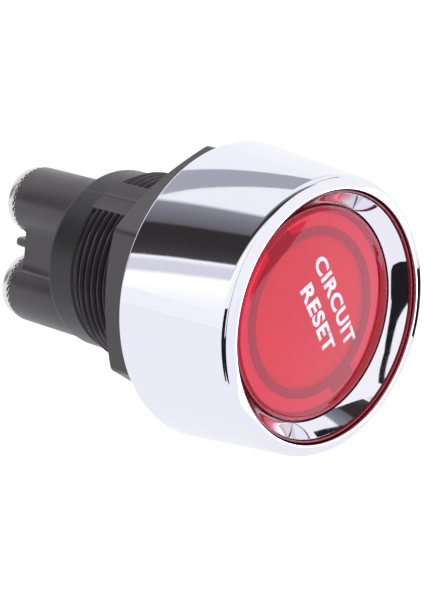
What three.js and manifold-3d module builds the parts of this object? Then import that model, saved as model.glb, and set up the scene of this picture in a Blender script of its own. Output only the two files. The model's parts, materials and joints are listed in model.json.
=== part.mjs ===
// Illuminated momentary push button for a 22 mm panel hole: a chromed conical bezel, a red domed
// lens in a chromed trim ring, an M22 x 1 threaded body with its hex nut, and two screw terminals.
//
// Millimetres. +Z is up, the lens faces -Y and the terminals point along +Y. The origin is on the
// button's axis, in the plane where the bezel rests on the panel. A "depth" is a Y coordinate:
// negative in front of the panel, positive behind it. Angles are seen from the front, from +X
// towards +Z.
import * as THREE from 'three';
import { mergeVertices } from 'three/addons/utils/BufferGeometryUtils.js';
import Module from 'manifold-3d';

const wasm = await Module();
wasm.setup();

// ---------------------------------------------------------------- driving dimensions
const RUNNING_GAP = 0.05; // between pieces that touch in the real object
const BUTTON_TRAVEL = 2.5;
const CONTACT_TRAVEL = 2.0; // the moving contacts stop here, and the stem runs on

const bezel = {
  height: 14.95,
  frontRadius: 15.25,
  rearRadius: 16.71,
  lipInnerRadius: 13.84,
  lipOuterRound: 0.9,
  lipInnerRound: 0.18,
  rearChamfer: 0.2,
  floor: 1.6,
  floorHole: 11.3,
  grooveInner: 12.4,
  grooveOuter: 14.4,
  grooveDepth: 0.9,
  gasketGap: 0.1, // between the gasket and each wall of its groove
};

const thread = {
  crestRadius: 11.0,
  rootRadius: 10.4,
  pitch: 1.0,
  turns: 14,
  firstCrest: 1.0, // depth of the crest nearest the panel
  landDistance: 10.72, // from the axis to each flat land that interrupts the thread
  landHalfAngle: 12.9,
  landAngle: 120, // the other land is opposite
  landRoot: 10, // how far in each land's block reaches, to overlap the core
};

const body = {
  flangeRadius: 13.0,
  flangeFront: -2.85,
  flangeRear: -1.65,
  neckRadius: 10.7,
  shankRadius: 10.45,
  shankEnd: 19.1,
  shankRound: 0.45,
  cavityRadius: 8.8,
  guideFront: 3.0,
  guideRear: 5.0,
  guideHole: 3.3,
  spigotSeat: 16.6,
  spigotRadius: 9.5,
};

const nut = {
  acrossFlats: 27,
  front: 0.3,
  rear: 5.95,
  chamferRadius: 13.3, // where the rear corner chamfer starts
  chamferAngle: 30,
  bore: 11.15,
  recessRadius: 12.75,
  recessDepth: 0.95,
  cornerAngle: 87,
  washerInner: 11.3,
  washerOuter: 12.5,
};

const lens = {
  radius: 11.84,
  edge: -12.45,
  crown: -13.7,
  underside: -12.35, // over the clip ring
  undersideRadius: 9.7,
  shelf: -11.9, // over the clip ring's tabs
  shelfRadius: 10.95,
  foot: -11.2,
  flangeRadius: 12.4,
  flangeTop: -11.85,
  edgeRound: 0.25,
};

const trim = {
  innerRadius: 11.95,
  outerRadius: 13.42,
  innerEdge: -12.55, // where the sloping face starts, beside the lens
  crown: -14.3,
  crownRound: 0.12,
  seat: -12.9,
  foot: -11.95,
};

const carrier = {
  outerRadius: 13.68,
  collarTop: -14.5, // the thin collar round the trim ring
  collarInner: 13.47,
  top: -12.8,
  ledge: -11.1,
  bottom: -5.6,
  floor: 1.1,
  innerRadius: 11.9,
  rimInner: 12.6,
  stemHole: 3.2,
};

const board = { radius: 11.6, front: -7.6, rear: -6.8 };
const led = { ring: 6.4, long: 3.5, wide: 2.8, tall: 1.6, count: 6 };
const resistor = { long: 3.2, tall: 0.7, wide: 1.6 };
const diffuser = { radius: 11.6, top: -10.35, plate: 0.65, skirt: 0.7 };
const clipRing = {
  inner: 8.4,
  outer: 9.5,
  front: -12.3,
  tabFront: -11.85,
  rear: -11.3,
  tabRoot: 8.8, // each tab starts inside the ring
  tabReach: 10.7,
  tabWidth: 3.6,
};

const stem = {
  radius: 3.05,
  front: -6.5,
  collarRadius: 4.8,
  collarFront: -5.5,
  collarRear: -4.5,
  clipGroove: 2.3,
  clipFront: 5.1,
  clipRear: 5.8,
  clipRadius: 4.7,
  clipOpening: 35, // half the angle that the clip leaves open
  stopWasherRadius: 2.7,
  stopWasherThick: 0.6,
  shoulder: 7.0,
  tipRadius: 1.6,
  end: 14.2,
};

const bridge = { front: 11.7, rear: 12.5, wide: 5.2, overhang: 1.7, hole: 1.85 };
const movingPad = { radius: 1.5, thick: 0.8 };

const terminal = {
  angle: 83.1, // direction of the line through both terminals
  upper: 4.25, // centre of the upper terminal along that line
  lower: -6.25,
  bossRadius: 4.2,
  bossEnd: 33.3,
  baseFront: 17.25,
  spigotRadius: 9.4,
  bossStart: 19.15,
  webHalfWidth: 3.2,
  webEnd: 32.1,
  barrierThick: 0.95,
  barrierShift: 0.2, // towards the upper terminal, from midway between the two
  barrierHalfWidth: 2.3,
  barrierEnd: 35.3,
  barrierRound: 1.2,
  insertRadius: 2.85,
  insertHead: 2.45,
  insertHeadFront: 16.3,
  boreRadius: 2.1,
  boreEnd: 23.5,
  contactRadius: 1.6,
  contactFront: 15.45,
};

const washer = { radius: 4.15, toothRoot: 3.85, teeth: 24, thick: 0.45, hole: 2.15 };
const screw = {
  headRadius: 3.95,
  headHeight: 1.5,
  headRim: 0.45, // how far the head's top edge steps in, and then its flat top
  headTop: 1.2,
  shankRadius: 1.95,
  tipChamfer: 0.4,
  length: 8.0,
  slot: 0.8,
  slotLength: 4.2,
  slotDepth: 0.7,
  slotAngles: [30, 120],
};

const lampPin = { ring: 7.7, radius: 0.45, rear: 7.5 };
const sleeve = { inner: 0.55, outer: 0.9, front: 2.0, rear: 16.2 };
const strap = { inner: 7.15, outer: 8.6, toUpper: [2, 96], toLower: [-160, -84] }; // from the terminals' line
const seal = { gap: 0.1, minorRadius: 0.35 };
const pushSpring = { radius: 5.6, wire: 0.8, turns: 4.5, gap: 0.1 };
const bridgeSpring = { radius: 2.5, wire: 0.5, turns: 4, gap: 0.1 };

// ---------------------------------------------------------------- materials
function material(color, roughness, metalness) {
  return new THREE.MeshStandardMaterial({ color, roughness, metalness });
}
const chrome = material(0xdcdce4, 0.08, 1.0);
const blackPlastic = material(0x35302f, 0.5, 0.0);
const redLens = material(0xd0303c, 0.1, 0.0);
const redPlastic = material(0x7a1018, 0.3, 0.0);
const darkRed = material(0x8c3a42, 0.4, 0.0);
const frosted = material(0xf2c8cc, 0.6, 0.0);
const rubber = material(0x1d1c1c, 0.8, 0.0);
const nickel = material(0xd9d2cc, 0.3, 1.0);
const springSteel = material(0xa9adb2, 0.3, 1.0);
const brass = material(0xc8a050, 0.3, 1.0);
const copper = material(0xc07850, 0.3, 1.0);
const silver = material(0xe6e6e4, 0.3, 1.0);
const boardGreen = material(0x2c5a3c, 0.5, 0.0);
const ledWhite = material(0xf4f0e6, 0.4, 0.0);
const zinc = material(0xb8bcc0, 0.35, 1.0);

// ---------------------------------------------------------------- shape helpers
const rad = THREE.MathUtils.degToRad;

// A closed profile of [radius, depth] points, turned about the axis.
function turned(profile, segments) {
  const points = profile.map(([r, depth]) => new THREE.Vector2(r, depth));
  if (THREE.ShapeUtils.area(points) < 0) points.reverse();
  const closed = [...points, points[0].clone()];
  return new THREE.LatheGeometry(closed, segments);
}

// A plain disc or ring between two depths.
function ring(inner, outer, front, rear, segments) {
  const profile = [
    [outer, front],
    [outer, rear],
    [inner, rear],
    [inner, front],
  ];
  return turned(profile, segments);
}

function disc(radius, front, rear, segments) {
  return ring(0, radius, front, rear, segments);
}

// An outline in X and Z, extruded along Y between two depths.
function extruded(shape, front, rear, curveSegments = 12) {
  const options = { depth: rear - front, bevelEnabled: false, curveSegments };
  const geometry = new THREE.ExtrudeGeometry(shape, options);
  geometry.rotateX(Math.PI / 2);
  geometry.translate(0, rear, 0);
  return geometry;
}

// Points on an arc of [radius, depth] pairs, from one angle to another.
function arc(centreRadius, centreDepth, radius, from, to, steps) {
  const points = [];
  for (let i = 0; i <= steps; i++) {
    const angle = rad(from + ((to - from) * i) / steps);
    points.push([centreRadius + radius * Math.cos(angle), centreDepth + radius * Math.sin(angle)]);
  }
  return points;
}

// Moves a geometry sideways, to a distance along a direction.
function shifted(geometry, distance, angle) {
  geometry.translate(distance * Math.cos(rad(angle)), 0, distance * Math.sin(rad(angle)));
  return geometry;
}

// Turns a geometry about the axis; a positive angle goes from +X towards +Z.
function spun(geometry, angle) {
  geometry.rotateY(-rad(angle));
  return geometry;
}

function solidOf(geometry) {
  const bare = geometry.index ? geometry.toNonIndexed() : geometry.clone();
  bare.deleteAttribute('normal');
  bare.deleteAttribute('uv');
  const merged = mergeVertices(bare, 1e-4);
  return new wasm.Manifold(
    new wasm.Mesh({
      numProp: 3,
      vertProperties: new Float32Array(merged.attributes.position.array),
      triVerts: new Uint32Array(merged.index.array),
    }),
  );
}

function geometryOf(solid) {
  const mesh = solid.getMesh();
  const geometry = new THREE.BufferGeometry();
  geometry.setAttribute('position', new THREE.BufferAttribute(mesh.vertProperties.slice(), 3));
  geometry.setIndex(new THREE.BufferAttribute(mesh.triVerts.slice(), 1));
  const faceted = geometry.toNonIndexed();
  faceted.computeVertexNormals();
  return faceted;
}

function cut(geometry, ...tools) {
  const rest = tools.reduce((solid, tool) => solid.subtract(solidOf(tool)), solidOf(geometry));
  return geometryOf(rest);
}

function joined(...geometries) {
  const solids = geometries.map(solidOf);
  const whole = solids.reduce((sum, solid) => sum.add(solid));
  return geometryOf(whole);
}

// A round wire wound about the axis, with its ends lying flat at the two depths.
function coil(meanRadius, wire, front, rear, turns, stepsPerTurn, sides) {
  class Helix extends THREE.Curve {
    getPoint(t, target = new THREE.Vector3()) {
      const angle = 2 * Math.PI * turns * t;
      const depth = THREE.MathUtils.lerp(front + wire / 2, rear - wire / 2, t);
      return target.set(meanRadius * Math.cos(angle), depth, meanRadius * Math.sin(angle));
    }
  }
  const section = new THREE.Shape();
  for (let i = 0; i < sides; i++) {
    const angle = (2 * Math.PI * i) / sides;
    const x = (wire / 2) * Math.cos(angle);
    const y = (wire / 2) * Math.sin(angle);
    if (i === 0) section.moveTo(x, y);
    else section.lineTo(x, y);
  }
  section.closePath();
  const options = { steps: turns * stepsPerTurn, extrudePath: new Helix() };
  return new THREE.ExtrudeGeometry(section, options);
}

// ---------------------------------------------------------------- the housing
function bezelCup() {
  const b = bezel;
  const outerRoundCentre = [b.frontRadius - b.lipOuterRound, -b.height + b.lipOuterRound];
  const innerRoundCentre = [b.lipInnerRadius + b.lipInnerRound, -b.height + b.lipInnerRound];
  const profile = [
    [b.floorHole, 0],
    [b.grooveInner, 0],
    [b.grooveInner, -b.grooveDepth],
    [b.grooveOuter, -b.grooveDepth],
    [b.grooveOuter, 0],
    [b.rearRadius - b.rearChamfer, 0],
    [b.rearRadius, -b.rearChamfer],
    ...arc(...outerRoundCentre, b.lipOuterRound, 0, -90, 3),
    ...arc(...innerRoundCentre, b.lipInnerRound, -90, -180, 2),
    [b.lipInnerRadius, -b.floor],
    [b.floorHole, -b.floor],
  ];
  return turned(profile, 64);
}

function threadedBody() {
  const t = thread;
  const b = body;
  const threadStart = t.firstCrest - t.pitch / 2;
  const threadEnd = t.firstCrest + t.turns * t.pitch;
  const outline = [
    [b.cavityRadius, b.flangeFront],
    [b.flangeRadius, b.flangeFront],
    [b.flangeRadius, b.flangeRear],
    [b.neckRadius, b.flangeRear],
    [b.neckRadius, threadStart],
    [t.rootRadius, threadStart],
  ];
  for (let i = 0; i < t.turns; i++) {
    const crest = t.firstCrest + i * t.pitch;
    outline.push([t.crestRadius, crest], [t.rootRadius, crest + t.pitch / 2]);
  }
  outline.push(
    [b.shankRadius, threadEnd],
    [b.shankRadius, b.shankEnd - b.shankRound],
    [b.shankRadius - b.shankRound, b.shankEnd],
    [b.spigotRadius, b.shankEnd],
    [b.spigotRadius, b.spigotSeat],
    [b.cavityRadius, b.spigotSeat],
    [b.cavityRadius, b.guideRear],
    [b.guideHole, b.guideRear],
    [b.guideHole, b.guideFront],
    [b.cavityRadius, b.guideFront],
  );
  const halfLand = t.landDistance * Math.tan(rad(t.landHalfAngle));
  const cutters = [];
  const lands = [];
  for (const angle of [t.landAngle, t.landAngle + 180]) {
    const slab = new THREE.BoxGeometry(2, threadEnd, 2 * b.neckRadius);
    slab.translate(t.landDistance + 1, threadStart + threadEnd / 2, 0);
    cutters.push(spun(slab, angle));
    const land = new THREE.BoxGeometry(t.landDistance - t.landRoot, threadEnd - threadStart, 2 * halfLand);
    land.translate((t.landDistance + t.landRoot) / 2, (threadStart + threadEnd) / 2, 0);
    lands.push(spun(land, angle));
  }
  const sleeveHoles = [0, 180].map((side) => {
    const hole = disc(sleeve.outer + RUNNING_GAP, b.guideFront - 1, b.guideRear + 1, 12);
    return shifted(hole, lampPin.ring, terminal.angle + 90 + side);
  });
  const threaded = cut(turned(outline, 36), ...cutters);
  return cut(joined(threaded, ...lands), ...sleeveHoles);
}

function panelGasket() {
  const inner = bezel.grooveInner + bezel.gasketGap;
  const outer = bezel.grooveOuter - bezel.gasketGap;
  return ring(inner, outer, -bezel.grooveDepth + RUNNING_GAP, -RUNNING_GAP, 32);
}

// The plate between the terminals, with rounded rear corners, across their line at a distance along it.
function barrier(distance) {
  const { barrierHalfWidth: half, barrierRound: round, barrierEnd: end, barrierThick: thick } = terminal;
  const plate = new THREE.Shape();
  plate.moveTo(-half, terminal.bossStart);
  plate.lineTo(half, terminal.bossStart);
  plate.absarc(half - round, end - round, round, 0, Math.PI / 2, false);
  plate.absarc(round - half, end - round, round, Math.PI / 2, Math.PI, false);
  plate.closePath();
  const geometry = new THREE.ExtrudeGeometry(plate, { depth: thick, bevelEnabled: false, curveSegments: 4 });
  geometry.rotateY(Math.PI / 2);
  geometry.translate(distance - thick / 2, 0, 0);
  return geometry;
}

function terminalBase() {
  const t = terminal;
  const spigot = disc(t.spigotRadius, t.baseFront, t.bossStart + 0.1, 32);
  const pieces = [spigot];
  const bores = [];
  for (const place of [t.upper, t.lower]) {
    pieces.push(shifted(disc(t.bossRadius, t.bossStart, t.bossEnd, 32), place, t.angle));
    const bore = disc(t.insertRadius + RUNNING_GAP, t.baseFront - 1, t.bossEnd + 1, 20);
    bores.push(shifted(bore, place, t.angle));
  }
  const span = t.upper - t.lower;
  const middle = (t.upper + t.lower) / 2;
  const web = new THREE.BoxGeometry(span - t.bossRadius, t.webEnd - t.bossStart, 2 * t.webHalfWidth);
  web.translate(middle, (t.webEnd + t.bossStart) / 2, 0);
  pieces.push(spun(web, t.angle));
  pieces.push(spun(barrier(middle + t.barrierShift), t.angle));
  return cut(joined(...pieces), ...bores);
}

function terminalInsert(place) {
  const t = terminal;
  const end = t.bossEnd - RUNNING_GAP;
  const profile = [
    [0, t.insertHeadFront],
    [t.insertHead, t.insertHeadFront],
    [t.insertHead, t.baseFront - RUNNING_GAP],
    [t.insertRadius, t.baseFront - RUNNING_GAP],
    [t.insertRadius, end],
    [t.boreRadius, end],
    [t.boreRadius, t.boreEnd],
    [0, t.boreEnd],
  ];
  return shifted(turned(profile, 20), place, t.angle);
}

function fixedContact(place) {
  const t = terminal;
  const pad = disc(t.contactRadius, t.contactFront, t.insertHeadFront - RUNNING_GAP, 16);
  return shifted(pad, place, t.angle);
}

// A flat strap that follows the body's wall from a lamp sleeve to a terminal insert.
function lampStrap([fromAngle, toAngle]) {
  const from = rad(terminal.angle + fromAngle);
  const to = rad(terminal.angle + toAngle);
  const shape = new THREE.Shape();
  shape.absarc(0, 0, strap.outer, from, to, false);
  shape.absarc(0, 0, strap.inner, to, from, true);
  shape.closePath();
  return extruded(shape, sleeve.rear + 0.1, terminal.baseFront - RUNNING_GAP, 10);
}

function lampSleeve(angle) {
  return shifted(ring(sleeve.inner, sleeve.outer, sleeve.front, sleeve.rear, 12), lampPin.ring, angle);
}

function stemSeal() {
  const minor = seal.minorRadius;
  const torus = new THREE.TorusGeometry(stem.radius + seal.gap + minor, minor, 6, 16);
  torus.rotateX(Math.PI / 2);
  torus.translate(0, body.guideFront - minor - RUNNING_GAP, 0);
  return torus;
}

function returnSpring() {
  const p = pushSpring;
  return coil(p.radius, p.wire, carrier.bottom + p.gap, body.guideFront - p.gap, p.turns, 12, 5);
}

// ---------------------------------------------------------------- the button
function buttonCarrier() {
  const c = carrier;
  const profile = [
    [c.outerRadius, c.collarTop],
    [c.outerRadius, c.bottom],
    [c.stemHole, c.bottom],
    [c.stemHole, c.bottom - c.floor],
    [c.innerRadius, c.bottom - c.floor],
    [c.innerRadius, c.ledge],
    [c.rimInner, c.ledge],
    [c.rimInner, c.top],
    [c.collarInner, c.top],
    [c.collarInner, c.collarTop],
  ];
  const pinHoles = [90, 270].map((side) => {
    const hole = disc(lampPin.radius + RUNNING_GAP, c.bottom - 3, c.bottom + 1, 10);
    return shifted(hole, lampPin.ring, terminal.angle + side);
  });
  return cut(turned(profile, 48), ...pinHoles);
}

function trimRing() {
  const t = trim;
  const crest = t.outerRadius - t.crownRound;
  const across = crest - t.innerRadius;
  const rise = t.innerEdge - t.crown;
  // the face steepens a little on its way up to the crown
  const slope = new THREE.QuadraticBezierCurve(
    new THREE.Vector2(t.innerRadius, t.innerEdge),
    new THREE.Vector2(t.innerRadius + across * 0.38, t.innerEdge - rise * 0.32),
    new THREE.Vector2(crest, t.crown),
  );
  const face = slope.getPoints(4).map((point) => [point.x, point.y]);
  const profile = [
    [t.innerRadius, t.foot],
    ...face,
    ...arc(crest, t.crown + t.crownRound, t.crownRound, -60, 0, 2),
    [t.outerRadius, t.seat],
    [carrier.rimInner - 0.1, t.seat],
    [carrier.rimInner - 0.1, t.foot],
  ];
  return turned(profile, 56);
}

function domedLens() {
  const l = lens;
  const rise = l.edge - l.crown;
  const rimRadius = l.radius - l.edgeRound;
  const sphere = (rimRadius * rimRadius + rise * rise) / (2 * rise);
  const dome = [];
  const steps = 5;
  for (let i = 1; i < steps; i++) {
    const r = rimRadius * (1 - i / steps);
    dome.push([r, l.crown + sphere - Math.sqrt(sphere * sphere - r * r)]);
  }
  const profile = [
    [0, l.underside],
    [l.undersideRadius, l.underside],
    [l.undersideRadius, l.shelf],
    [l.shelfRadius, l.shelf],
    [l.shelfRadius, l.foot],
    [l.flangeRadius, l.foot],
    [l.flangeRadius, l.flangeTop],
    [l.radius, l.flangeTop],
    [l.radius, l.edge + l.edgeRound],
    [rimRadius, l.edge],
    ...dome,
    [0, l.crown],
  ];
  return turned(profile, 48);
}

function diffuserCup() {
  const d = diffuser;
  const profile = [
    [0, d.top],
    [d.radius, d.top],
    [d.radius, board.front - RUNNING_GAP],
    [d.radius - d.skirt, board.front - RUNNING_GAP],
    [d.radius - d.skirt, d.top + d.plate],
    [0, d.top + d.plate],
  ];
  return turned(profile, 32);
}

function lensClip() {
  const c = clipRing;
  const hoop = ring(c.inner, c.outer, c.front, c.rear, 36);
  const tabs = [thread.landAngle, thread.landAngle + 180].map((angle) => {
    const tab = new THREE.BoxGeometry(c.tabReach - c.tabRoot, c.rear - c.tabFront, c.tabWidth);
    tab.translate((c.tabReach + c.tabRoot) / 2, (c.tabFront + c.rear) / 2, 0);
    return spun(tab, angle);
  });
  return joined(hoop, ...tabs);
}

function ledBoard() {
  return disc(board.radius, board.front, board.rear, 28);
}

function ledChip(index) {
  const chip = new THREE.BoxGeometry(led.wide, led.tall, led.long);
  chip.translate(led.ring, board.front - RUNNING_GAP - led.tall / 2, 0);
  return spun(chip, thread.landAngle + (360 * index) / led.count);
}

function boardResistor() {
  const chip = new THREE.BoxGeometry(resistor.long, resistor.tall, resistor.wide);
  chip.translate(0, board.front - RUNNING_GAP - resistor.tall / 2, 0);
  return chip;
}

function contactPin(angle) {
  return shifted(disc(lampPin.radius, board.rear + RUNNING_GAP, lampPin.rear, 10), lampPin.ring, angle);
}

function plungerStem() {
  const s = stem;
  const profile = [
    [0, s.front],
    [s.radius, s.front],
    [s.radius, s.collarFront],
    [s.collarRadius, s.collarFront],
    [s.collarRadius, s.collarRear],
    [s.radius, s.collarRear],
    [s.radius, s.clipFront],
    [s.clipGroove, s.clipFront],
    [s.clipGroove, s.clipRear],
    [s.radius, s.clipRear],
    [s.radius, s.shoulder],
    [s.tipRadius, s.shoulder],
    [s.tipRadius, s.end],
    [0, s.end],
  ];
  return turned(profile, 18);
}

// A C-shaped retaining clip that sits in the stem's groove.
function stemClip() {
  const from = rad(stem.clipOpening);
  const to = rad(360 - stem.clipOpening);
  const shape = new THREE.Shape();
  shape.absarc(0, 0, stem.clipRadius, from, to, false);
  shape.absarc(0, 0, stem.clipGroove + RUNNING_GAP, to, from, true);
  shape.closePath();
  return extruded(shape, stem.clipFront + RUNNING_GAP, stem.clipRear - RUNNING_GAP, 12);
}

function stopWasher() {
  const front = bridge.rear + 2 * RUNNING_GAP;
  const rear = front + stem.stopWasherThick;
  return ring(stem.tipRadius + RUNNING_GAP, stem.stopWasherRadius, front, rear, 20);
}

// ---------------------------------------------------------------- the moving contacts
function contactBridge() {
  const t = terminal;
  const length = t.upper - t.lower + 2 * bridge.overhang;
  const strip = new THREE.BoxGeometry(length, bridge.rear - bridge.front, bridge.wide);
  strip.translate((t.upper + t.lower) / 2, (bridge.front + bridge.rear) / 2, 0);
  const hole = disc(bridge.hole, bridge.front - 1, bridge.rear + 1, 20);
  return cut(spun(strip, t.angle), hole);
}

function movingContact(place) {
  const front = bridge.rear + RUNNING_GAP;
  return shifted(disc(movingPad.radius, front, front + movingPad.thick, 16), place, terminal.angle);
}

function contactSpring() {
  const c = bridgeSpring;
  return coil(c.radius, c.wire, stem.shoulder + c.gap, bridge.front - c.gap, c.turns, 10, 5);
}

// ---------------------------------------------------------------- the panel nut
function nutWasher() {
  const front = nut.front + 2 * RUNNING_GAP;
  return ring(nut.washerInner, nut.washerOuter, front, nut.front + nut.recessDepth - RUNNING_GAP, 36);
}

function hexNut() {
  const n = nut;
  const cornerRadius = n.acrossFlats / Math.sqrt(3);
  const hexagon = new THREE.Shape();
  for (let i = 0; i < 6; i++) {
    const angle = rad(n.cornerAngle + 60 * i);
    const x = cornerRadius * Math.cos(angle);
    const z = cornerRadius * Math.sin(angle);
    if (i === 0) hexagon.moveTo(x, z);
    else hexagon.lineTo(x, z);
  }
  hexagon.closePath();
  const prism = solidOf(extruded(hexagon, n.front, n.rear));
  const beyond = cornerRadius + 1;
  const slope = Math.tan(rad(n.chamferAngle));
  const envelope = turned(
    [
      [0, n.front],
      [beyond, n.front],
      [beyond, n.rear - (beyond - n.chamferRadius) * slope],
      [n.chamferRadius, n.rear],
      [0, n.rear],
    ],
    48,
  );
  const chamfered = geometryOf(prism.intersect(solidOf(envelope)));
  const bore = disc(n.bore, n.front - 1, n.rear + 1, 48);
  const recess = disc(n.recessRadius, n.front - 1, n.front + n.recessDepth, 48);
  return cut(chamfered, bore, recess);
}

// ---------------------------------------------------------------- the terminal screws
function lockWasher(place) {
  const w = washer;
  const star = new THREE.Shape();
  for (let i = 0; i < 2 * w.teeth; i++) {
    const radius = i % 2 === 0 ? w.radius : w.toothRoot;
    const angle = (Math.PI * i) / w.teeth;
    if (i === 0) star.moveTo(radius, 0);
    else star.lineTo(radius * Math.cos(angle), radius * Math.sin(angle));
  }
  star.closePath();
  const hole = new THREE.Path();
  hole.absarc(0, 0, w.hole, 0, 2 * Math.PI, true);
  star.holes.push(hole);
  const front = terminal.bossEnd + RUNNING_GAP;
  return shifted(extruded(star, front, front + w.thick, 8), place, terminal.angle);
}

function terminalScrew(place) {
  const s = screw;
  const seat = terminal.bossEnd + washer.thick + 2 * RUNNING_GAP;
  const top = seat + s.headHeight;
  const profile = [
    [0, seat - s.length],
    [s.shankRadius - s.tipChamfer, seat - s.length],
    [s.shankRadius, seat - s.length + s.tipChamfer],
    [s.shankRadius, seat],
    [s.headRadius, seat],
    [s.headRadius, seat + s.headHeight / 2],
    [s.headRadius - s.headRim, top - s.headHeight / 10],
    [s.headRadius - s.headTop, top],
    [0, top],
  ];
  const slots = s.slotAngles.map((angle) => {
    const slot = new THREE.BoxGeometry(s.slotLength, 2 * s.slotDepth, s.slot);
    slot.translate(0, top, 0);
    return spun(slot, angle);
  });
  return shifted(cut(turned(profile, 24), ...slots), place, terminal.angle);
}

// ---------------------------------------------------------------- the assembly
const button = new THREE.Group();

function add(name, geometry, look) {
  const mesh = new THREE.Mesh(geometry, look);
  mesh.name = name;
  button.add(mesh);
}

const places = { upper: terminal.upper, lower: terminal.lower };
const lampAngles = { left: terminal.angle + 90, right: terminal.angle - 90 };

add('bezel', bezelCup(), chrome);
add('threaded_body', threadedBody(), blackPlastic);
add('panel_gasket', panelGasket(), rubber);
add('terminal_base', terminalBase(), blackPlastic);
for (const [name, place] of Object.entries(places)) {
  add(`terminal_insert_${name}`, terminalInsert(place), brass);
  add(`fixed_contact_${name}`, fixedContact(place), silver);
}
for (const [name, angle] of Object.entries(lampAngles)) {
  add(`lamp_sleeve_${name}`, lampSleeve(angle), brass);
}
add('lamp_strap_left', lampStrap(strap.toUpper), brass);
add('lamp_strap_right', lampStrap(strap.toLower), brass);
add('stem_seal', stemSeal(), rubber);
add('return_spring', returnSpring(), springSteel);

add('button_carrier', buttonCarrier(), redPlastic);
add('trim_ring', trimRing(), chrome);
add('lens', domedLens(), redLens);
add('lens_clip', lensClip(), darkRed);
add('diffuser', diffuserCup(), frosted);
add('led_board', ledBoard(), boardGreen);
for (let i = 0; i < led.count; i++) {
  add(`led_${i + 1}`, ledChip(i), ledWhite);
}
add('board_resistor', boardResistor(), blackPlastic);
for (const [name, angle] of Object.entries(lampAngles)) {
  add(`lamp_pin_${name}`, contactPin(angle), brass);
}
add('plunger_stem', plungerStem(), blackPlastic);
add('stem_clip', stemClip(), springSteel);
add('stop_washer', stopWasher(), zinc);

add('contact_bridge', contactBridge(), copper);
for (const [name, place] of Object.entries(places)) {
  add(`moving_contact_${name}`, movingContact(place), silver);
}
add('contact_spring', contactSpring(), springSteel);

add('nut_washer', nutWasher(), zinc);
add('panel_nut', hexNut(), blackPlastic);

for (const [name, place] of Object.entries(places)) {
  add(`lock_washer_${name}`, lockWasher(place), nickel);
  add(`terminal_screw_${name}`, terminalScrew(place), nickel);
}

export default button;
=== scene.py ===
"""Looks for the illuminated panel push button, in the CAD frame: the button's axis is Y, the lens
faces -Y, and the origin is on the axis where the bezel meets the panel. Shapes are written in
millimetres, as (radius, depth) or (radius, depth, corner radius), where a depth is a Y coordinate.
The studio round the object is in metres."""

import json
import math

import bmesh
import bpy
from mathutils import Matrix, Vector


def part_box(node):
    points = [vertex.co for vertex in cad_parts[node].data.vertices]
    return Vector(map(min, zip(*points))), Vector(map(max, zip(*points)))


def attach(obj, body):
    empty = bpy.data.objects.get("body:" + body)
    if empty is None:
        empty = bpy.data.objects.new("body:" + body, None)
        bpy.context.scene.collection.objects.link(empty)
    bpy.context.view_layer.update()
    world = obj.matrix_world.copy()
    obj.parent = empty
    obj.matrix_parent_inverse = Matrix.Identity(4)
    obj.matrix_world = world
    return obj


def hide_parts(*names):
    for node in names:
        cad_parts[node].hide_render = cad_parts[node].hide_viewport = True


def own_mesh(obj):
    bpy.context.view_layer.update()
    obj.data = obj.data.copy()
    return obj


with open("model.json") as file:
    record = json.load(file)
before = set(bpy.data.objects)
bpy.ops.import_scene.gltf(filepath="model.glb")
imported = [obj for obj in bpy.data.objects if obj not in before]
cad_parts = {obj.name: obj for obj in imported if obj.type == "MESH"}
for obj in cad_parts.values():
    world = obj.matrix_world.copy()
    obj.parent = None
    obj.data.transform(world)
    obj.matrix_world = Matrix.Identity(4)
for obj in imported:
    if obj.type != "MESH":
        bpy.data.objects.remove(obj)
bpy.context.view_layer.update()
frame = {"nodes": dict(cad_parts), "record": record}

MM = 0.001
scene = bpy.context.scene


# ---------------------------------------------------------------- camera
CAMERA_PLACE = Vector((-164.0, -166.3, 67.0)) * MM
CAMERA_FORWARD = Vector((0.668, 0.690, -0.280))
CAMERA_LENS = 132.0


def make_camera():
    data = bpy.data.cameras.new("camera")
    data.lens = CAMERA_LENS
    data.sensor_width = 36.0
    data.clip_start = 0.01
    data.clip_end = 20.0
    camera = bpy.data.objects.new("camera", data)
    scene.collection.objects.link(camera)
    camera.location = CAMERA_PLACE
    camera.rotation_euler = CAMERA_FORWARD.to_track_quat("-Z", "Y").to_euler()
    scene.camera = camera


make_camera()


# ---------------------------------------------------------------- sizes read from the frame
def span(node):
    """A node's box in millimetres, as its lowest and its highest corner."""
    low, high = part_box(node)
    return Vector(low) / MM, Vector(high) / MM


def radius_of(node):
    low, high = span(node)
    return max(high.x - low.x, high.z - low.z) / 2


def centre_of(node):
    low, high = span(node)
    return (low + high) / 2


BEZEL_FRONT = span("bezel")[0].y
BEZEL_REAR_RADIUS = radius_of("bezel")
LIP_RADIUS = 15.25
LIP_INNER_RADIUS = 13.84
BEZEL_FLOOR = -1.6
BEZEL_HOLE_RADIUS = 11.3
LENS_CROWN = span("lens")[0].y
LENS_REAR = span("lens")[1].y
LENS_RADIUS = 11.84
LENS_EDGE = -12.75
LENS_ROUND = 0.85
LENS_FLANGE_TOP = -11.85
LENS_UNDERSIDE = -11.9
LENS_UNDERSIDE_RADIUS = 10.95
TRIM_CROWN = span("trim_ring")[0].y
TRIM_OUTER_RADIUS = 13.42
TRIM_SEAT = -12.9
TRIM_FOOT = -11.95
CARRIER_RADIUS = 13.68
CARRIER_COLLAR_RADIUS = 13.47
CARRIER_COLLAR_TOP = -14.5
SHANK_END = span("threaded_body")[1].y
SHANK_RADIUS = 10.45
CAVITY_RADIUS = 8.8
TERMINAL_ANGLE = math.radians(83.1)
LAND_ANGLE = math.radians(120.0)
BOSS_RADIUS = 4.2
BOSS_END = 33.3
BASE_REAR = 19.15
THREAD = {
    "crest": 11.0,
    "root": 10.25,
    "pitch": 1.0,
    "first": 0.6,
    "last": 14.4,
    "land": 10.72,  # from the axis to each flat land that interrupts the thread
    "land_half": math.radians(12.9),
}
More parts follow.
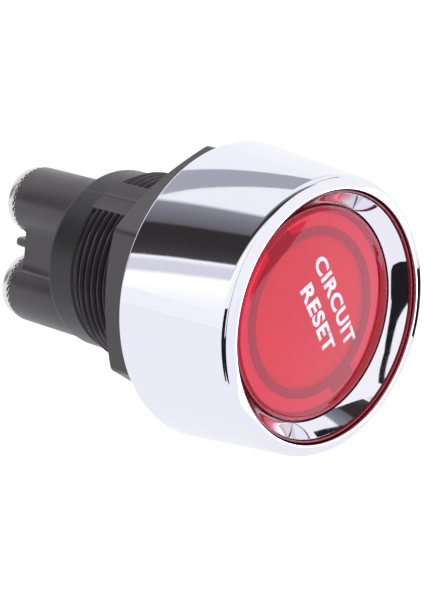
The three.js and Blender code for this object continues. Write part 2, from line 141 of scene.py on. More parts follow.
SEAM_HALF_ANGLE = math.radians(0.5)
UPPER = centre_of("terminal_screw_upper")
LOWER = centre_of("terminal_screw_lower")


# ---------------------------------------------------------------- node helpers
def new_material(name):
    material = bpy.data.materials.new(name)
    material.use_nodes = True
    tree = material.node_tree
    shader = tree.nodes["Principled BSDF"]
    return material, tree, shader


def add_node(tree, kind, **values):
    node = tree.nodes.new(kind)
    for key, value in values.items():
        if hasattr(node, key):
            setattr(node, key, value)
        else:
            node.inputs[key].default_value = value
    return node


def object_position(tree, scale=(1, 1, 1)):
    """The point in the object's own space, in metres, scaled."""
    where = add_node(tree, "ShaderNodeTexCoord")
    mapping = add_node(tree, "ShaderNodeMapping", Scale=scale)
    tree.links.new(where.outputs["Object"], mapping.inputs["Vector"])
    return mapping.outputs["Vector"]


def noise(tree, vector, scale, detail=4.0, roughness=0.5):
    node = add_node(tree, "ShaderNodeTexNoise", Scale=scale, Detail=detail, Roughness=roughness)
    tree.links.new(vector, node.inputs["Vector"])
    return node.outputs["Fac"]


def remap(tree, value, low, high, to_low, to_high):
    node = add_node(tree, "ShaderNodeMapRange")
    node.inputs["From Min"].default_value = low
    node.inputs["From Max"].default_value = high
    node.inputs["To Min"].default_value = to_low
    node.inputs["To Max"].default_value = to_high
    tree.links.new(value, node.inputs["Value"])
    return node.outputs["Result"]


def colour_between(tree, factor, first, second):
    ramp = add_node(tree, "ShaderNodeValToRGB")
    ramp.color_ramp.elements[0].color = (*first, 1)
    ramp.color_ramp.elements[1].color = (*second, 1)
    tree.links.new(factor, ramp.inputs["Fac"])
    return ramp.outputs["Color"]


def bump(tree, shader, height, distance, strength):
    node = add_node(tree, "ShaderNodeBump", Strength=strength, Distance=distance)
    tree.links.new(height, node.inputs["Height"])
    tree.links.new(node.outputs["Normal"], shader.inputs["Normal"])


# ---------------------------------------------------------------- materials
def chrome_material():
    """Bright plating over a moulding that isn't perfectly even."""
    material, tree, shader = new_material("chrome_plate")
    shader.inputs["Metallic"].default_value = 1.0
    wide = noise(tree, object_position(tree), 55.0, 2.0)
    fine = noise(tree, object_position(tree), 2400.0, 3.0)
    tint = colour_between(tree, wide, (0.885, 0.88, 0.945), (0.905, 0.90, 0.965))
    tree.links.new(tint, shader.inputs["Base Color"])
    tree.links.new(remap(tree, fine, 0.3, 0.75, 0.02, 0.06), shader.inputs["Roughness"])
    bump(tree, shader, wide, 0.00006, 0.35)
    return material


def threaded_plastic_material():
    """The threaded housing's satin black, with painted shade in the thread: the colour darkens towards the
    roots of its grooves.
    """
    material, tree, shader = new_material("thread_black")
    position = object_position(tree, (1000, 1000, 1000))
    parts = add_node(tree, "ShaderNodeSeparateXYZ")
    tree.links.new(position, parts.inputs["Vector"])
    flat = add_node(tree, "ShaderNodeCombineXYZ")
    tree.links.new(parts.outputs["X"], flat.inputs["X"])
    tree.links.new(parts.outputs["Z"], flat.inputs["Z"])
    length = add_node(tree, "ShaderNodeVectorMath", operation="LENGTH")
    tree.links.new(flat.outputs["Vector"], length.inputs[0])
    # painted shade: the colour runs from near black at the thread's roots to the satin black at its crests
    height = remap(tree, length.outputs["Value"], THREAD["root"] + 0.05, THREAD["crest"] - 0.06, 0.0, 1.0)
    tone = colour_between(tree, height, (0.002, 0.0018, 0.002), (0.030, 0.0255, 0.029))
    tree.links.new(tone, shader.inputs["Base Color"])
    grain = noise(tree, position, 5.2, 2.0)
    tree.links.new(remap(tree, grain, 0.3, 0.7, 0.28, 0.40), shader.inputs["Roughness"])
    bump(tree, shader, grain, 0.00002, 0.6)
    return material


def black_plastic_material(name, dark, light, roughness):
    """Satin moulded plastic: cloudy tone, fine grain, and slightly uneven gloss."""
    material, tree, shader = new_material(name)
    shader.inputs["Specular IOR Level"].default_value = 0.7
    cloud = noise(tree, object_position(tree), 180.0, 3.0)
    grain = noise(tree, object_position(tree), 5200.0, 2.0)
    tree.links.new(colour_between(tree, cloud, dark, light), shader.inputs["Base Color"])
    tree.links.new(
        remap(tree, cloud, 0.3, 0.7, roughness - 0.06, roughness + 0.06), shader.inputs["Roughness"]
    )
    bump(tree, shader, grain, 0.00002, 0.6)
    return material


def metal_material(name, first, second, roughness, grain_scale):
    """Plain metal with a fine drawn or turned grain."""
    material, tree, shader = new_material(name)
    shader.inputs["Metallic"].default_value = 1.0
    cloud = noise(tree, object_position(tree), 300.0, 3.0)
    grain = noise(tree, object_position(tree, grain_scale), 1.0, 3.0)
    tree.links.new(colour_between(tree, cloud, first, second), shader.inputs["Base Color"])
    tree.links.new(
        remap(tree, grain, 0.3, 0.7, roughness - 0.08, roughness + 0.1), shader.inputs["Roughness"]
    )
    bump(tree, shader, grain, 0.00001, 0.5)
    return material


def plastic_material(name, first, second, roughness, subsurface=0.0):
    """Plain coloured plastic with a soft mottle and a moulded micro texture."""
    material, tree, shader = new_material(name)
    cloud = noise(tree, object_position(tree), 240.0, 3.0)
    grain = noise(tree, object_position(tree), 4200.0, 2.0)
    tree.links.new(colour_between(tree, cloud, first, second), shader.inputs["Base Color"])
    tree.links.new(
        remap(tree, grain, 0.3, 0.7, roughness - 0.05, roughness + 0.05), shader.inputs["Roughness"]
    )
    shader.inputs["Subsurface Weight"].default_value = subsurface
    shader.inputs["Subsurface Radius"].default_value = (1.0, 0.25, 0.25)
    shader.inputs["Subsurface Scale"].default_value = 0.001
    bump(tree, shader, grain, 0.00001, 0.4)
    return material


LENS_HAZE_SHARE = 0.30
LENS_IOR = 1.4
LENS_GLOSS_STOPS = ((0.04, 0.038), (0.12, 0.08), (0.36, 0.95))  # Fresnel amount, share mirrored


def lens_material():
    """Tinted clear plastic with some haze, under a polished face that mirrors more at grazing angles."""
    material, tree, shader = new_material("lens_red_plastic")
    position = object_position(tree)
    cloud = noise(tree, position, 130.0, 2.0)
    smear = noise(tree, position, 900.0, 3.0)
    shader.inputs["Specular IOR Level"].default_value = 0.0
    haze = colour_between(tree, cloud, (0.72, 0.012, 0.050), (0.82, 0.016, 0.062))
    tree.links.new(haze, shader.inputs["Base Color"])
    tree.links.new(remap(tree, smear, 0.3, 0.8, 0.4, 0.5), shader.inputs["Roughness"])
    clear = add_node(tree, "ShaderNodeBsdfTransparent")
    tint = colour_between(tree, cloud, (0.93, 0.05, 0.18), (0.96, 0.06, 0.21))
    tree.links.new(tint, clear.inputs["Color"])
    body = add_node(tree, "ShaderNodeMixShader")
    body.inputs["Fac"].default_value = LENS_HAZE_SHARE
    tree.links.new(clear.outputs[0], body.inputs[1])
    tree.links.new(shader.outputs[0], body.inputs[2])
    polish = add_node(tree, "ShaderNodeBsdfGlossy")
    tree.links.new(remap(tree, smear, 0.3, 0.8, 0.01, 0.05), polish.inputs["Roughness"])
    fresnel = add_node(tree, "ShaderNodeFresnel", IOR=LENS_IOR)
    geometry = add_node(tree, "ShaderNodeNewGeometry")
    outside = remap(tree, geometry.outputs["Backfacing"], 0.0, 1.0, 1.0, 0.0)
    share = add_node(tree, "ShaderNodeMath", operation="MULTIPLY")
    gloss = add_node(tree, "ShaderNodeValToRGB")
    for amount, level in LENS_GLOSS_STOPS:
        gloss.color_ramp.elements.new(amount).color = (level, level, level, 1)
    tree.links.new(fresnel.outputs[0], gloss.inputs["Fac"])
    tree.links.new(gloss.outputs["Color"], share.inputs[0])
    tree.links.new(outside, share.inputs[1])
    face = add_node(tree, "ShaderNodeMixShader")
    tree.links.new(share.outputs[0], face.inputs["Fac"])
    tree.links.new(body.outputs[0], face.inputs[1])
    tree.links.new(polish.outputs[0], face.inputs[2])
    tree.links.new(face.outputs[0], tree.nodes["Material Output"].inputs["Surface"])
    return material


MATERIALS = {
    "chrome": chrome_material(),
    "black_plastic": black_plastic_material(
        "satin_black", (0.018, 0.015, 0.0175), (0.028, 0.0235, 0.027), 0.33
    ),
    "stem_plastic": black_plastic_material(
        "stem_black", (0.020, 0.020, 0.022), (0.035, 0.034, 0.036), 0.38
    ),
    "gasket_rubber": black_plastic_material(
        "seal_rubber", (0.012, 0.012, 0.012), (0.022, 0.021, 0.021), 0.75
    ),
    "lens_red": lens_material(),
    "carrier_red": plastic_material(
        "carrier_dark_red", (0.16, 0.008, 0.014), (0.24, 0.012, 0.022), 0.28, 0.2
    ),
    "clip_red": plastic_material("clip_dark_red", (0.07, 0.05, 0.07), (0.10, 0.07, 0.09), 0.4),
    "frosted": plastic_material("diffuser_frost", (0.90, 0.62, 0.64), (0.97, 0.72, 0.73), 0.55, 0.3),
    "circuit_board": plastic_material("solder_mask", (0.012, 0.10, 0.035), (0.02, 0.15, 0.05), 0.35),
    "led_body": plastic_material("led_housing", (0.80, 0.78, 0.68), (0.90, 0.88, 0.78), 0.3),
    "brass_parts": metal_material(
        "drawn_brass", (0.70, 0.50, 0.20), (0.82, 0.62, 0.30), 0.28, (900, 60, 900)
    ),
    "silver_contact": metal_material(
        "fine_silver", (0.80, 0.79, 0.77), (0.92, 0.91, 0.90), 0.3, (700, 700, 700)
    ),
    "copper_strip": metal_material(
        "rolled_copper", (0.72, 0.36, 0.22), (0.85, 0.47, 0.31), 0.3, (80, 900, 900)
    ),
    "spring_steel": metal_material(
        "spring_wire", (0.52, 0.53, 0.55), (0.66, 0.67, 0.69), 0.26, (900, 900, 900)
    ),
    "zinc_steel": metal_material(
        "zinc_plate", (0.58, 0.60, 0.63), (0.72, 0.74, 0.76), 0.32, (500, 500, 500)
    ),
    "nickel_steel": metal_material(
        "nickel_plate", (0.80, 0.76, 0.74), (0.90, 0.87, 0.85), 0.24, (600, 600, 600)
    ),
}
THREAD_BLACK = threaded_plastic_material()


def coat(piece, material):
    piece.data.materials.clear()
    piece.data.materials.append(material)


# ---------------------------------------------------------------- mesh helpers
def make_piece(name, vertices, faces, slot_name, body_name, smooth_angle=35.0):
    """A clean closed mesh object from millimetre vertices, riding on a body."""
    mesh = bpy.data.meshes.new(name)
    mesh.from_pydata([[c * MM for c in v] for v in vertices], [], faces)
    shaped = bmesh.new()
    shaped.from_mesh(mesh)
    bmesh.ops.remove_doubles(shaped, verts=shaped.verts, dist=1e-7)
    bmesh.ops.dissolve_degenerate(shaped, edges=shaped.edges, dist=1e-9)
    loose = [edge for edge in shaped.edges if not edge.link_faces]
    bmesh.ops.delete(shaped, geom=loose, context="EDGES")
    bmesh.ops.recalc_face_normals(shaped, faces=shaped.faces)
    shaped.to_mesh(mesh)
    shaped.free()
    finish_shading(mesh, smooth_angle)
    piece = bpy.data.objects.new(name, mesh)
    scene.collection.objects.link(piece)
    coat(piece, MATERIALS[slot_name])
    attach(piece, body_name)
    return piece


def finish_shading(mesh, smooth_angle):
    for polygon in mesh.polygons:
        polygon.use_smooth = True
    mesh.set_sharp_from_angle(angle=math.radians(smooth_angle))


def rounded(points, steps=4):
    """Rounds the corners of a closed outline. A point is (a, b) or (a, b, corner radius)."""
    result = []
    count = len(points)
    for i, point in enumerate(points):
        here = Vector(point[:2])
        radius = point[2] if len(point) > 2 else 0.0
        if radius <= 0.0:
            result.append(tuple(here))
            continue
        before = Vector(points[i - 1][:2]) - here
        after = Vector(points[(i + 1) % count][:2]) - here
        half = before.angle(after) / 2
        reach = min(radius / math.tan(half), 0.49 * before.length, 0.49 * after.length)
        start = here + before.normalized() * reach
        end = here + after.normalized() * reach
        for k in range(steps + 1):
            t = k / steps
            curve = start * (1 - t) ** 2 + here * 2 * t * (1 - t) + end * t**2
            result.append(tuple(curve))
    return result


def swept(name, outline_at, segments, slot_name, body_name, centre=(0.0, 0.0), smooth_angle=35.0):
    """Sweeps a closed outline round a line parallel to Y; the outline may vary with the angle."""
    vertices = []
    faces = []
    rings = []
    for s in range(segments):
        angle = 2 * math.pi * s / segments
        outline = outline_at(angle)
        ring = []
        for radius, depth in outline:
            vertices.append(
                (centre[0] + radius * math.cos(angle), depth, centre[1] + radius * math.sin(angle))
            )
            ring.append(len(vertices) - 1)
        rings.append(ring)
    for s in range(segments):
        first = rings[s]
        second = rings[(s + 1) % segments]
        for i in range(len(first)):
            j = (i + 1) % len(first)
            faces.append((first[i], first[j], second[j], second[i]))
    return make_piece(name, vertices, faces, slot_name, body_name, smooth_angle)


def turned(name, outline, segments, slot_name, body_name, centre=(0.0, 0.0), smooth_angle=35.0):
    """Sweeps the same closed outline all the way round."""
    return swept(name, lambda angle: outline, segments, slot_name, body_name, centre, smooth_angle)


def along_y(x, z, depth):
    return (x, depth, z)


def prism(name, outline, front, rear, edge, slot_name, body_name, place=along_y):
    """Extrudes an outline of (x, z) points along Y, or as place says, with both rims bevelled by edge."""
    rows = [(front, -edge), (front + edge, 0.0), (rear - edge, 0.0), (rear, -edge)]
    count = len(outline)
    normals = []
    for i in range(count):
        along = Vector(outline[(i + 1) % count]) - Vector(outline[i - 1])
        normals.append(Vector((along.y, -along.x)).normalized())
    vertices = []
    for depth, offset in rows:
        for point, normal in zip(outline, normals):
            moved = Vector(point) + normal * offset
            vertices.append(place(moved.x, moved.y, depth))
    faces = [tuple(range(count)), tuple(range(3 * count, 4 * count))]
    for row in range(3):
        for i in range(count):
            j = (i + 1) % count
            faces.append(
                (row * count + i, row * count + j, (row + 1) * count + j, (row + 1) * count + i)
            )
    return make_piece(name, vertices, faces, slot_name, body_name)


def combine(target, other, operation):
    """Joins another closed mesh to the target, or cuts it away, and removes the other piece."""
    modifier = target.modifiers.new("combine", "BOOLEAN")
    modifier.operation = operation
    modifier.object = other
    modifier.solver = "EXACT"
    bpy.context.view_layer.update()
    graph = bpy.context.evaluated_depsgraph_get()
    mesh = bpy.data.meshes.new_from_object(target.evaluated_get(graph))
    target.modifiers.remove(modifier)
    target.data = mesh
    bpy.data.objects.remove(other)
    finish_shading(mesh, 35.0)


def round_wire(name, mean_radius, wire, front, rear, turns, slot_name, body_name):
    """A coil of round wire about the axis, whose turns lie closer together at both ends."""
    steps = int(turns * 36)
    sides = 12
    closing = 0.6
    vertices = []
    faces = []
    for i in range(steps + 1):
        share = i / steps
        angle = 2 * math.pi * turns * share
        eased = share - math.sin(2 * math.pi * share) / (2 * math.pi) * closing
        depth = front + wire / 2 + (rear - front - wire) * eased
        for k in range(sides):
            around = 2 * math.pi * k / sides
            radius = mean_radius + wire / 2 * math.cos(around)
            vertices.append(
                (radius * math.cos(angle), depth + wire / 2 * math.sin(around), radius * math.sin(angle))
            )
    for i in range(steps):
        for k in range(sides):
            j = (k + 1) % sides
            faces.append((i * sides + k, i * sides + j, (i + 1) * sides + j, (i + 1) * sides + k))
    faces.append(tuple(range(sides)))
    faces.append(tuple(range(steps * sides, (steps + 1) * sides)))
    return make_piece(name, vertices, faces, slot_name, body_name, 60.0)


# ---------------------------------------------------------------- the housing
def make_bezel():
    """The cone cup, with a rolled lip and the gasket's groove in its rear face."""
    groove_inner = 12.4
    groove_outer = 14.4
    groove_bottom = -0.9
    outline = rounded(
        [
            (BEZEL_HOLE_RADIUS, 0.0, 0.1),
            (groove_inner, 0.0, 0.06),
            (groove_inner, groove_bottom),
            (groove_outer, groove_bottom),
            (groove_outer, 0.0, 0.06),
            (BEZEL_REAR_RADIUS, 0.0, 0.22),
            (LIP_RADIUS, BEZEL_FRONT + 0.4, 1.2),
            (LIP_INNER_RADIUS, BEZEL_FRONT, 0.16),
            (LIP_INNER_RADIUS, BEZEL_FLOOR, 0.3),
            (BEZEL_HOLE_RADIUS, BEZEL_FLOOR, 0.1),
        ],
        steps=8,
    )
    bezel = turned("bezel_shell", outline, 256, "chrome", "housing")
    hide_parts("bezel")


def land_offset(angle):
    """Angle from the middle of the nearer of the two opposite lands."""
    return math.remainder(angle - LAND_ANGLE, math.pi)


def seam_height(angle, height):
    """How far the mould parting line along the middle of each land stands proud."""
    return height if abs(land_offset(angle)) < SEAM_HALF_ANGLE else 0.0


def thread_radius(depth, angle):
    """Outer radius of the threaded body: a 60 degree helix with two smooth lands and a parting line."""
    t = THREAD
    run_out = 0.6
    phase = (depth / t["pitch"] - angle / (2 * math.pi)) % 1.0
    height = 1.0 - abs(2.0 * phase - 1.0)
    fade = min(1.0, max(0.0, (depth - t["first"]) / run_out), max(0.0, (t["last"] - depth) / run_out))
    shape = min(1.0, max(0.0, (height - 0.2) / 0.66))
    radius = t["root"] + (t["crest"] - t["root"]) * shape * fade
    off = land_offset(angle)
    flat = t["land"] / math.cos(off)
    if abs(off) < t["land_half"]:
        radius = flat
    else:
        radius = min(radius, flat)
    return radius + seam_height(angle, 0.05)


def make_threaded_body():
    """The threaded tube with its flange in front, the stem's guide inside and a plain shank behind."""
    thread_front = 0.3
    thread_rear = 15.0
    row_count = 176
    rows = [thread_front + (thread_rear - thread_front) * i / row_count for i in range(row_count + 1)]

    def outline_at(angle):
        outside = [(thread_radius(depth, angle), depth) for depth in rows]
        inside = rounded(
            [
                (SHANK_RADIUS, SHANK_END, 0.5),
                (9.5, SHANK_END, 0.1),
                (9.5, 16.6),
                (CAVITY_RADIUS, 16.6),
                (CAVITY_RADIUS, 5.0, 0.3),
                (3.3, 5.0, 0.1),
                (3.3, 3.0, 0.1),
                (CAVITY_RADIUS, 3.0, 0.3),
                (CAVITY_RADIUS, -2.85, 0.2),
                (13.0, -2.85, 0.15),
                (13.0, -1.65, 0.15),
                (10.7, -1.65),
            ],
            steps=3,
        )
        shank = SHANK_RADIUS + seam_height(angle, 0.04)
        outside += [(shank, thread_rear + 0.15), (shank, SHANK_END - 0.6)]
        return outside + inside

    body = swept("threaded_housing", outline_at, 360, "black_plastic", "housing", smooth_angle=28.0)
    coat(body, THREAD_BLACK)
    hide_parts("threaded_body")


def make_gasket():
    outline = rounded([(12.5, -0.85, 0.15), (12.5, -0.05, 0.15), (14.3, -0.05, 0.15), (14.3, -0.85, 0.15)])
    gasket = turned("panel_seal", outline, 160, "gasket_rubber", "housing")
    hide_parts("panel_gasket")


def circle(radius, count):
    angles = [2 * math.pi * i / count for i in range(count)]
    return [(radius * math.cos(angle), radius * math.sin(angle)) for angle in angles]


def make_web(middle, along, across, half_distance):
    """The wall between the pillars, which runs into each pillar with a wide fillet."""
    half_width = 3.1
    fillet = 2.2
    centre = half_distance - math.sqrt((BOSS_RADIUS + fillet) ** 2 - (half_width + fillet) ** 2)
    touch = math.atan2(-fillet * (half_width + fillet), fillet * (half_distance - centre))
    side = []
    for i in range(9):
        angle = math.radians(-90) + (touch + math.radians(90)) * i / 8
        side.append((centre + fillet * math.cos(angle), half_width + fillet * (1 + math.sin(angle))))
    side.append((half_distance - 0.3, 2.5))
    outline = list(reversed(side))
    outline += [(-a, b) for a, b in side]
    outline += [(-a, -b) for a, b in reversed(side)]
    outline += [(a, -b) for a, b in side]
    placed = [tuple(middle + along * a + across * b) for a, b in outline]
    return prism("web", placed, BASE_REAR, 32.1, 0.12, "black_plastic", "housing")


def make_rib(middle, along, across):
    """The thin plate that keeps the two terminals apart, with rounded rear corners."""
    half_width = 2.3
    thick = 0.95
    shift = 0.2
    end = 35.3
    corner = 1.4
    outline = rounded(
        [
            (-half_width, BASE_REAR),
            (half_width, BASE_REAR),
            (half_width, end, corner),
            (-half_width, end, corner),
        ],
        steps=8,
    )

    def place(b, depth, a):
        point = middle + along * a + across * b
        return (point.x, depth, point.y)

    low = shift - thick / 2
    high = shift + thick / 2
    return prism("rib", outline, low, high, 0.22, "black_plastic", "housing", place)


def make_terminal_base():
    """Two pillars, the web between them and the barrier rib, moulded as one."""
    along = Vector((math.cos(TERMINAL_ANGLE), math.sin(TERMINAL_ANGLE)))
    across = Vector((-along.y, along.x))
    upper = Vector((UPPER.x, UPPER.z))
    lower = Vector((LOWER.x, LOWER.z))
    middle = (upper + lower) / 2
    spigot = circle(9.4, 95)
    base = prism("terminal_moulding", spigot, 17.25, BASE_REAR + 0.1, 0.1, "black_plastic", "housing")
    for name, centre in (("upper", upper), ("lower", lower)):
        outline = rounded(
            [(0.0, BASE_REAR), (BOSS_RADIUS, BASE_REAR), (BOSS_RADIUS, BOSS_END, 0.3), (0.0, BOSS_END)],
            steps=5,
        )
        pillar = turned(f"pillar_{name}", outline, 96, "black_plastic", "housing", centre=tuple(centre))
        combine(base, pillar, "UNION")
    half_distance = (upper - lower).length / 2
    combine(base, make_web(middle, along, across, half_distance), "UNION")
    combine(base, make_rib(middle, along, across), "UNION")
    for centre in (upper, lower):
        bore = rounded([(0.0, 16.0), (2.9, 16.0), (2.9, 35.0), (0.0, 35.0)])
        cutter = turned("bore", bore, 64, "black_plastic", "housing", centre=tuple(centre))
        combine(base, cutter, "DIFFERENCE")
    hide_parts("terminal_base")


# ---------------------------------------------------------------- the button
def dome_depth(radius):
    """Depth of the lens's front surface at a distance from the axis."""
    rim = LENS_RADIUS - LENS_ROUND
    rise = LENS_EDGE - LENS_CROWN
    sphere = (rim * rim + rise * rise) / (2 * rise)
    return LENS_CROWN + sphere - math.sqrt(sphere * sphere - min(radius, rim) ** 2)


def make_lens():
    """The domed lens, with a dark red ring set just inside its rim and a pale light band set in it."""
    rim = LENS_RADIUS - LENS_ROUND
    face_steps = 40
    face_radii = [rim * i / face_steps for i in range(1, face_steps + 1)]
    outline = [(0.0, LENS_CROWN)] + [(radius, dome_depth(radius)) for radius in face_radii]
    edge_steps = 12
    for i in range(1, edge_steps + 1):
        angle = math.radians(12 + 78 * i / edge_steps)
        radius = rim + LENS_ROUND * math.sin(angle)
        outline.append((radius, LENS_EDGE + LENS_ROUND * (0.978 - math.cos(angle))))
    outline += rounded(
        [
            (LENS_RADIUS, LENS_FLANGE_TOP),
            (12.4, LENS_FLANGE_TOP, 0.1),
            (12.4, LENS_REAR, 0.1),
            (LENS_UNDERSIDE_RADIUS, LENS_REAR, 0.1),
            (LENS_UNDERSIDE_RADIUS, LENS_UNDERSIDE, 0.1),
            (0.0, LENS_UNDERSIDE),
        ],
        steps=3,
    )
    lens = turned("lens_dome", outline, 256, "lens_red", "button", smooth_angle=40.0)
    # a dark red ring set inside the lens's rim, which darkens the edge of the dome
    skirt = rounded([(11.1, -12.55, 0.1), (11.74, -12.55, 0.15), (11.74, -11.3, 0.1), (11.1, -11.3, 0.1)])
    turned("lens_rim_dark_ring", skirt, 192, "carrier_red", "button")
    band = rounded([(9.3, -12.0, 0.02), (10.95, -12.0, 0.02), (10.95, -11.94, 0.02), (9.3, -11.94, 0.02)])
    turned("lens_light_band", band, 192, "frosted", "button")
    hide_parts("lens")


def make_trim_ring():
    """A nearly straight sloping face that steepens a little up to a narrow crown inside the lip."""
    start = Vector((11.95, -12.55))
    middle = Vector((12.47, -13.11))
    end = Vector((13.3, TRIM_CROWN + 0.05))
    steps = 24
    face = []
    for i in range(steps + 1):
        t = i / steps
        face.append(tuple(start * (1 - t) ** 2 + middle * 2 * t * (1 - t) + end * t * t))
    outline = face + rounded(
        [
            (TRIM_OUTER_RADIUS, TRIM_CROWN, 0.1),
            (TRIM_OUTER_RADIUS, TRIM_SEAT, 0.05),
            (12.5, TRIM_SEAT),
            (12.5, TRIM_FOOT),
            (start.x, TRIM_FOOT),
        ],
        steps=6,
    )
    ring = turned("trim_ring_shell", outline, 256, "chrome", "button", smooth_angle=40.0)
    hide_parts("trim_ring")


def make_carrier():
    """The cup that carries the button's pieces; its collar stands round the trim ring."""
    outline = rounded(
        [
            (CARRIER_RADIUS, CARRIER_COLLAR_TOP, 0.08),
            (CARRIER_RADIUS, -5.6, 0.15),
            (3.2, -5.6, 0.1),
            (3.2, -6.7, 0.1),
            (11.9, -6.7, 0.3),
            (11.9, -11.1, 0.1),
            (12.6, -11.1, 0.05),
            (12.6, -12.8, 0.1),
            (CARRIER_COLLAR_RADIUS, -12.8, 0.05),
            (CARRIER_COLLAR_RADIUS, CARRIER_COLLAR_TOP, 0.08),
        ],
        steps=4,
    )
    skirt = turned("button_skirt", outline, 192, "carrier_red", "button")
    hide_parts("button_carrier")


def make_lens_clip():
    """The dark hoop under the lens, with a tab each side."""
    ring = rounded([(8.45, -12.2, 0.05), (9.4, -12.2, 0.05), (9.4, -12.0, 0.05), (8.45, -12.0, 0.05)])
    hoop = turned("clip_hoop", ring, 160, "clip_red", "button")
    for land in (LAND_ANGLE, LAND_ANGLE + math.pi):
        along = Vector((math.cos(land), math.sin(land)))
        across = Vector((-along.y, along.x))
        tab = rounded([(8.9, -1.8, 0.2), (10.5, -1.8, 0.5), (10.5, 1.8, 0.5), (8.9, 1.8, 0.2)])
        outline = [tuple(along * a + across * b) for a, b in tab]
        combine(hoop, prism("tab", outline, -12.15, -12.05, 0.03, "clip_red", "button"), "UNION")
    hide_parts("lens_clip")


def make_diffuser():
    """The pale cup over the lamps, its face close under the lens."""
    face = -11.75
    outline = rounded(
        [
            (0.0, face),
            (10.85, face, 0.1),
            (10.85, -11.0, 0.1),
            (11.6, -10.9, 0.1),
            (11.6, -7.65, 0.1),
            (10.9, -7.65, 0.1),
            (10.9, -9.7, 0.4),
            (0.0, -9.7),
        ]
    )
    cup = turned("diffuser_cup", outline, 160, "frosted", "button")
    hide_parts("diffuser")


LEGEND_LINES = (("CIRCUIT", 11.7, 1.6), ("RESET", 8.8, -1.5))  # words, width, base line
LEGEND_CAP_HEIGHT = 1.9
LEGEND_ANGLE = math.radians(-63.5)
LEGEND_HALF_THICKNESS = 0.02
LEGEND_INK = plastic_material("legend_ink", (0.84, 0.74, 0.86), (0.93, 0.84, 0.94), 0.4)


def make_legend():
    """A generic two-line legend, printed on the dome."""
    right = Vector((math.cos(LEGEND_ANGLE), math.sin(LEGEND_ANGLE)))
    above = Vector((-right.y, right.x))
    for words, width, base_line in LEGEND_LINES:
        data = bpy.data.curves.new(f"legend_{words.lower()}", "FONT")
        data.body = words
        data.align_x = "CENTER"
        data.space_character = 1.1
        data.offset = 0.034
        data.resolution_u = 6
        text = bpy.data.objects.new(data.name, data)
        scene.collection.objects.link(text)
        bpy.context.view_layer.update()
        graph = bpy.context.evaluated_depsgraph_get()
        mesh = bpy.data.meshes.new_from_object(text.evaluated_get(graph))
        bpy.data.objects.remove(text)
        shape = bmesh.new()
        shape.from_mesh(mesh)
        bmesh.ops.remove_doubles(shape, verts=shape.verts, dist=1e-6)
        low_x = min(v.co.x for v in shape.verts)
        high_x = max(v.co.x for v in shape.verts)
        low_y = min(v.co.y for v in shape.verts)
        high_y = max(v.co.y for v in shape.verts)
        top = bmesh.ops.extrude_face_region(shape, geom=shape.faces[:])["geom"]
        raised = {v for v in top if isinstance(v, bmesh.types.BMVert)}
        for vertex in shape.verts:
            a = ((vertex.co.x - low_x) / (high_x - low_x) - 0.5) * width
            b = base_line + (vertex.co.y - low_y) / (high_y - low_y) * LEGEND_CAP_HEIGHT
            place = right * a + above * b
            lift = LEGEND_HALF_THICKNESS if vertex in raised else -LEGEND_HALF_THICKNESS
            depth = dome_depth(place.length) - lift
            vertex.co = Vector((place.x, depth, place.y)) * MM
        bmesh.ops.recalc_face_normals(shape, faces=shape.faces)
        shape.to_mesh(mesh)
        shape.free()
        print_piece = bpy.data.objects.new(data.name, mesh)
        scene.collection.objects.link(print_piece)
        coat(print_piece, LEGEND_INK)
        print_piece.visible_shadow = False
        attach(print_piece, "button")


def make_springs():
    front, rear = span("return_spring")[0].y, span("return_spring")[1].y
    spring = round_wire("return_coil", 5.6, 0.8, front, rear, 4.5, "spring_steel", "housing")
    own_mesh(spring)
    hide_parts("return_spring")

    front, rear = span("contact_spring")[0].y, span("contact_spring")[1].y
    spring = round_wire("contact_coil", 2.5, 0.5, front, rear, 4, "spring_steel", "button")
    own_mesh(spring)
    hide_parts("contact_spring")


# ---------------------------------------------------------------- the nut and the terminal screws
def make_nut():
    """The hex nut with a chamfered rear rim and an inner thread, and the washer in its recess."""
    half_flats = 13.5
    front, rear = span("panel_nut")[0].y, span("panel_nut")[1].y
    corner_angle = math.radians(87)
    chamfer_radius = 13.3
    slope = math.tan(math.radians(30))
    bore = 11.15
    recess_radius = 12.75
    recess_end = 1.25

    def outline_at(angle):
        off = math.remainder(angle - corner_angle - math.radians(30), math.radians(60))
        flat = half_flats / math.cos(off)
        corner = min(flat, half_flats / math.cos(math.radians(30)) - 0.12)
        edge = rear - max(0.0, corner - chamfer_radius) * slope
        inside = []
        steps = 40
        thread_rear = rear - 0.45
        thread_front = 1.6
        for i in range(steps + 1):
            depth = thread_rear - (thread_rear - thread_front) * i / steps
            phase = (depth - angle / (2 * math.pi)) % 1.0
            inside.append((bore + 0.42 * abs(2 * phase - 1), depth))
        outline = [
            (recess_radius, front),
            (corner - 0.2, front),
            (corner, front + 0.2),
            (corner, edge - 0.06),
            (corner - 0.07, edge + 0.02),
            (chamfer_radius, rear),
            (bore + 0.5, rear),
        ]
        return outline + inside + [(bore + 0.1, recess_end), (recess_radius, recess_end)]

    nut = swept("hex_nut", outline_at, 360, "black_plastic", "nut", smooth_angle=25.0)
    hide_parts("panel_nut")
    outline = rounded([(11.3, 0.4, 0.1), (12.5, 0.4, 0.1), (12.5, 1.2, 0.1), (11.3, 1.2, 0.1)])
    washer = turned("nut_thrust_washer", outline, 160, "zinc_steel", "washer_of_nut")
    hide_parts("nut_washer")


